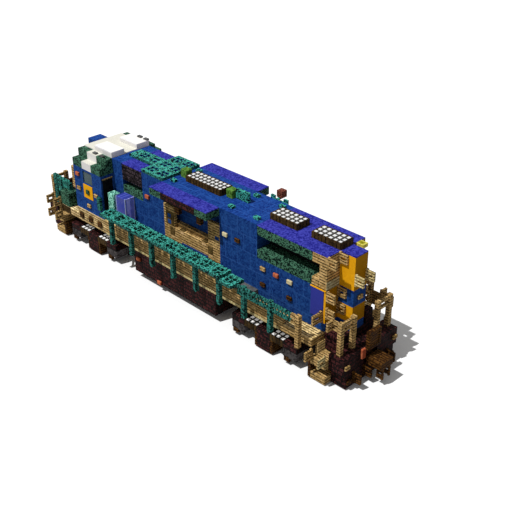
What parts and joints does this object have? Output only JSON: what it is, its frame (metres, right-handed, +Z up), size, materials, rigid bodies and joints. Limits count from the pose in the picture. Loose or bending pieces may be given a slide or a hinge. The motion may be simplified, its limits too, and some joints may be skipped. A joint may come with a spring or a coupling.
{
  "type": "block-built diesel locomotive",
  "caption": "Six-axle hood-unit diesel locomotive in block-built style, on two swivelling bogies, with a cab, long hood, roof fans, couplers and end steps.",
  "frame": {"origin": "on the ground under the middle of the locomotive", "axes": "+X forward towards the cab end, +Y left, +Z up"},
  "size_m": [20.44, 4.9, 5.3198],
  "materials": {
    "blue_paint": "mottled blue enamel",
    "indigo_paint": "indigo enamel",
    "yellow_paint": "yellow enamel",
    "maroon_iron": "dark maroon",
    "grey_iron": "dark grey",
    "tan_planks": "planked tan",
    "brown_planks": "planked brown",
    "teal_lattice": "teal enamel on lattice",
    "green_panel": "mottled grey green",
    "white_paint": "white enamel",
    "wheel_steel": "bright rolled steel",
    "window_glass": "smoky glass",
    "black_paint": "black enamel",
    "moss_green": "mottled moss green",
    "rust_red": "rust red enamel"
  },
  "bodies": {
    "body": {"cab_brows": "moss_green", "cab_roof": "white_paint", "cab_shell": "blue_paint", "cab_windows": "window_glass", "deck_cabinets": "grey_iron", "end_pillars": "yellow_paint", "end_platforms": "maroon_iron", "end_rails": "tan_planks", "engine_block": "grey_iron", "engine_hood": "blue_paint", "fan_boxes": "brown_planks", "frame_brackets": "tan_planks", "front_hood": "blue_paint", "fuel_tank": "maroon_iron", "green_panels": "green_panel", "hatch_beams": "maroon_iron", "latches": "rust_red", "nose": "green_panel", "pillar_bands": "blue_paint", "pilot_plates": "brown_planks", "plank_frames": "tan_planks", "radiator_hood": "blue_paint", "rail_posts": "teal_lattice", "rail_tops": "teal_lattice", "recess_grilles": "brown_planks", "roof_boxes": "moss_green", "roof_brackets": "teal_lattice", "roof_hatches": "indigo_paint", "roof_lattice": "teal_lattice", "steps": "tan_planks", "trim_plates": "indigo_paint", "underframe": "tan_planks"},
    "bogie_rear": {"bogie_bases_rear": "grey_iron", "bogie_frame_rear": "maroon_iron", "louvre_boxes_rear": "brown_planks"},
    "coupler_rear": {"coupler_rear": "brown_planks"},
    "wheelset_rear_1": {"wheelset_rear_1": "wheel_steel"},
    "wheelset_rear_2": {"wheelset_rear_2": "wheel_steel"},
    "wheelset_rear_3": {"wheelset_rear_3": "wheel_steel"},
    "bogie_front": {"bogie_bases_front": "grey_iron", "bogie_frame_front": "maroon_iron", "louvre_boxes_front": "brown_planks"},
    "coupler_front": {"coupler_front": "brown_planks"},
    "wheelset_front_1": {"wheelset_front_1": "wheel_steel"},
    "wheelset_front_2": {"wheelset_front_2": "wheel_steel"},
    "wheelset_front_3": {"wheelset_front_3": "wheel_steel"},
    "cab_door_left": {"cab_door_left": "black_paint"},
    "cab_door_right": {"cab_door_right": "black_paint"},
    "fan_rear": {"fan_rotor_rear": "grey_iron"},
    "fan_second": {"fan_rotor_second": "grey_iron"},
    "fan_centre": {"fan_rotor_centre": "grey_iron"}
  },
  "joints": [
    {"name": "bogie_rear_swivel", "type": "hinge", "parent": "body", "child": "bogie_rear", "pos_m": [-5.6, 0, 1.2], "axis": [0, 0, 1], "range_deg": [-5, 5]},
    {"name": "wheelset_rear_1_spin", "type": "hinge", "parent": "bogie_rear", "child": "wheelset_rear_1", "pos_m": [-7, 0, 0.536], "axis": [0, 1, 0], "continuous": true},
    {"name": "wheelset_rear_2_spin", "type": "hinge", "parent": "bogie_rear", "child": "wheelset_rear_2", "pos_m": [-5.6, 0, 0.536], "axis": [0, 1, 0], "continuous": true},
    {"name": "wheelset_rear_3_spin", "type": "hinge", "parent": "bogie_rear", "child": "wheelset_rear_3", "pos_m": [-4.2, 0, 0.536], "axis": [0, 1, 0], "continuous": true},
    {"name": "bogie_front_swivel", "type": "hinge", "parent": "body", "child": "bogie_front", "pos_m": [5.6, 0, 1.2], "axis": [0, 0, 1], "range_deg": [-5, 5]},
    {"name": "wheelset_front_1_spin", "type": "hinge", "parent": "bogie_front", "child": "wheelset_front_1", "pos_m": [4.2, 0, 0.536], "axis": [0, 1, 0], "continuous": true},
    {"name": "wheelset_front_2_spin", "type": "hinge", "parent": "bogie_front", "child": "wheelset_front_2", "pos_m": [5.6, 0, 0.536], "axis": [0, 1, 0], "continuous": true},
    {"name": "wheelset_front_3_spin", "type": "hinge", "parent": "bogie_front", "child": "wheelset_front_3", "pos_m": [7, 0, 0.536], "axis": [0, 1, 0], "continuous": true},
    {"name": "coupler_rear_swing", "type": "hinge", "parent": "body", "child": "coupler_rear", "pos_m": [-8.89, 0, 0.85], "axis": [0, 0, 1], "range_deg": [-7, 7]},
    {"name": "coupler_front_swing", "type": "hinge", "parent": "body", "child": "coupler_front", "pos_m": [8.89, 0, 0.85], "axis": [0, 0, 1], "range_deg": [-7, 7]},
    {"name": "cab_door_left_swing", "type": "hinge", "parent": "body", "child": "cab_door_left", "pos_m": [4.594, 1.133, 3.2], "axis": [0, 0, -1], "range_deg": [0, 90]},
    {"name": "cab_door_right_swing", "type": "hinge", "parent": "body", "child": "cab_door_right", "pos_m": [4.594, -1.133, 3.2], "axis": [0, 0, 1], "range_deg": [0, 90]},
    {"name": "fan_rear_spin", "type": "hinge", "parent": "body", "child": "fan_rear", "pos_m": [-7.35, 0, 5.03], "axis": [0, 0, 1], "continuous": true},
    {"name": "fan_second_spin", "type": "hinge", "parent": "body", "child": "fan_second", "pos_m": [-5.25, 0, 5.03], "axis": [0, 0, 1], "continuous": true},
    {"name": "fan_centre_spin", "type": "hinge", "parent": "body", "child": "fan_centre", "pos_m": [-0.7, 0, 5.03], "axis": [0, 0, 1], "continuous": true}
  ]
}
